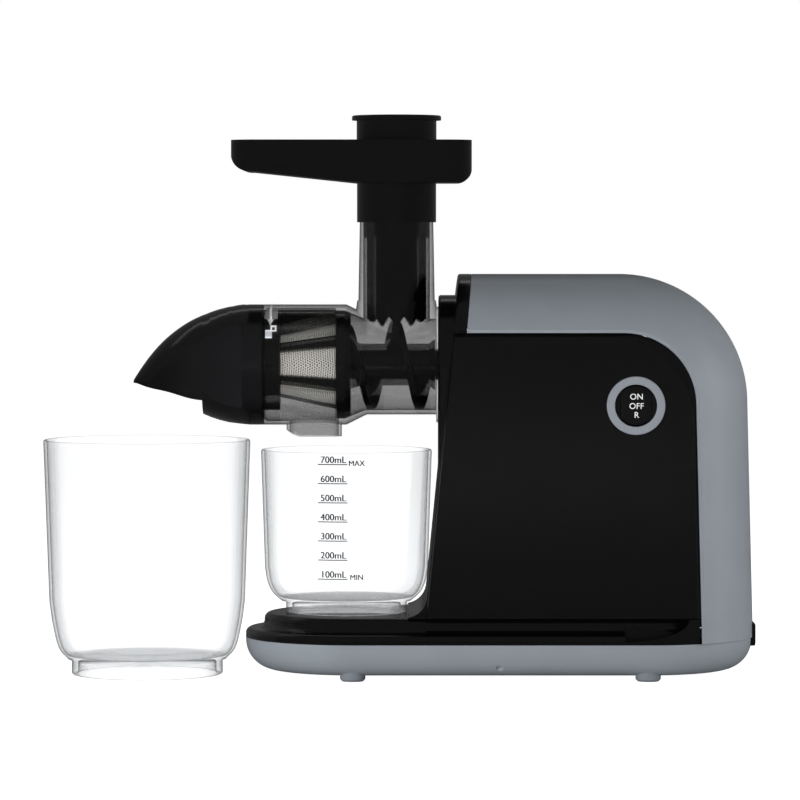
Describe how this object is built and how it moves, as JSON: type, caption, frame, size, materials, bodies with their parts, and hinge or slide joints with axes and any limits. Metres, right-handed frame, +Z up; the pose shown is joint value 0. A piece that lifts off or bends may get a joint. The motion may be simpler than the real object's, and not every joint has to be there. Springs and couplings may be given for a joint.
{
  "type": "cold press juicer",
  "caption": "Horizontal cold press juicer: motor housing on an oblong base, smoky drum with strainer and auger, feed tray with pusher, beaked end cap, juice cup and pulp cup.",
  "frame": {"origin": "on the table, at the middle of the box round the machine and its two cups", "axes": "+X from the beak of the end cap to the rear of the motor housing, -Y the switch side, +Z up"},
  "size_m": [0.4553, 0.138, 0.3571],
  "materials": {
    "grey_housing": "satin moulded ABS",
    "black_housing": "glossy moulded ABS",
    "smoky_plastic": "transparent dark moulding",
    "clear_plastic": "clear moulding",
    "black_plastic": "matt moulded",
    "ring_plastic": "satin moulded",
    "strainer_steel": "perforated sheet",
    "steel": "turned or drawn",
    "rubber": "moulded",
    "clear_rubber": "moulded silicone",
    "gear_plastic": "moulded acetal",
    "bushing_bronze": "sintered bronze",
    "magnet": "sintered ferrite",
    "winding_copper": "enamelled copper on steel laminations",
    "bell_aluminium": "die cast",
    "circuit_board": "lacquered board"
  },
  "bodies": {
    "machine": {"base_pan": "grey_housing", "feet": "rubber", "deck": "black_housing", "top_shell": "grey_housing", "front_panel": "black_housing", "back_panel": "black_housing", "front_bulkhead": "black_housing", "switch_ring": "ring_plastic", "switch_housing": "black_plastic", "cord_inlet": "black_plastic", "motor_can": "steel", "motor_bell": "bell_aluminium", "motor_bearings": "steel", "motor_magnets": "magnet", "gear_case": "black_plastic", "gear_cover": "black_plastic", "gear_axles": "steel", "output_bushing": "bushing_bronze", "shaft_seal": "rubber", "control_board": "circuit_board", "interlock_switch": "black_plastic", "case_screws": "steel", "motor_screws": "steel", "base_screws": "steel"},
    "switch_rocker": {"rocker": "black_housing"},
    "juicing_drum": {"drum": "smoky_plastic", "drum_seal": "clear_rubber", "strainer_frame": "black_plastic", "strainer_mesh": "strainer_steel"},
    "drum_cap": {"end_cap": "black_housing", "cap_seal": "clear_rubber"},
    "drive": {"auger": "black_plastic", "output_shaft": "steel", "output_gear": "gear_plastic"},
    "gear_one": {"first_gear": "gear_plastic"},
    "gear_two": {"second_gear": "gear_plastic"},
    "rotor": {"rotor_shaft": "steel", "armature": "winding_copper", "cooling_fan": "gear_plastic"},
    "feed_hopper": {"hopper": "black_housing"},
    "food_pusher": {"pusher": "black_housing", "pusher_cap": "black_housing"},
    "juice_catcher": {"juice_cup": "clear_plastic"},
    "pulp_catcher": {"pulp_cup": "clear_plastic"}
  },
  "joints": [
    {"name": "rocker_tilt", "type": "hinge", "parent": "machine", "child": "switch_rocker", "pos_m": [0.149, -0.0575, 0.174], "axis": [1, 0, 0], "range_deg": [-10, 10]},
    {"name": "drum_bayonet_twist", "type": "hinge", "parent": "machine", "child": "juicing_drum", "pos_m": [0, 0, 0.198], "axis": [1, 0, 0], "range_deg": [0, 40]},
    {"name": "cap_bayonet_twist", "type": "hinge", "parent": "juicing_drum", "child": "drum_cap", "pos_m": [-0.09, 0, 0.198], "axis": [1, 0, 0], "range_deg": [0, 30]},
    {"name": "auger_spin", "type": "hinge", "parent": "machine", "child": "drive", "pos_m": [0.05, 0, 0.198], "axis": [1, 0, 0], "continuous": true},
    {"name": "first_gear_spin", "type": "hinge", "parent": "machine", "child": "gear_one", "pos_m": [0.06, 0, 0.1575], "axis": [1, 0, 0], "continuous": true},
    {"name": "second_gear_spin", "type": "hinge", "parent": "machine", "child": "gear_two", "pos_m": [0.07, 0, 0.12375], "axis": [1, 0, 0], "continuous": true},
    {"name": "rotor_spin", "type": "hinge", "parent": "machine", "child": "rotor", "pos_m": [0.13, 0, 0.09675], "axis": [1, 0, 0], "continuous": true},
    {"name": "hopper_lift", "type": "slide", "parent": "juicing_drum", "child": "feed_hopper", "axis": [0, 0, 1], "range_m": [0, 0.03]},
    {"name": "pusher_lift", "type": "slide", "parent": "feed_hopper", "child": "food_pusher", "axis": [0, 0, 1], "range_m": [0, 0.12]},
    {"name": "juice_cup_draw", "type": "slide", "parent": "machine", "child": "juice_catcher", "axis": [0, -1, 0], "range_m": [0, 0.12]},
    {"name": "pulp_cup_draw", "type": "slide", "parent": "machine", "child": "pulp_catcher", "axis": [-1, 0, 0], "range_m": [0, 0.15]}
  ],
  "couplings": [
    {"joint": "first_gear_spin", "follows": "auger_spin", "ratio": -3.5},
    {"joint": "second_gear_spin", "follows": "auger_spin", "ratio": 12.25},
    {"joint": "rotor_spin", "follows": "auger_spin", "ratio": -42.875}
  ]
}
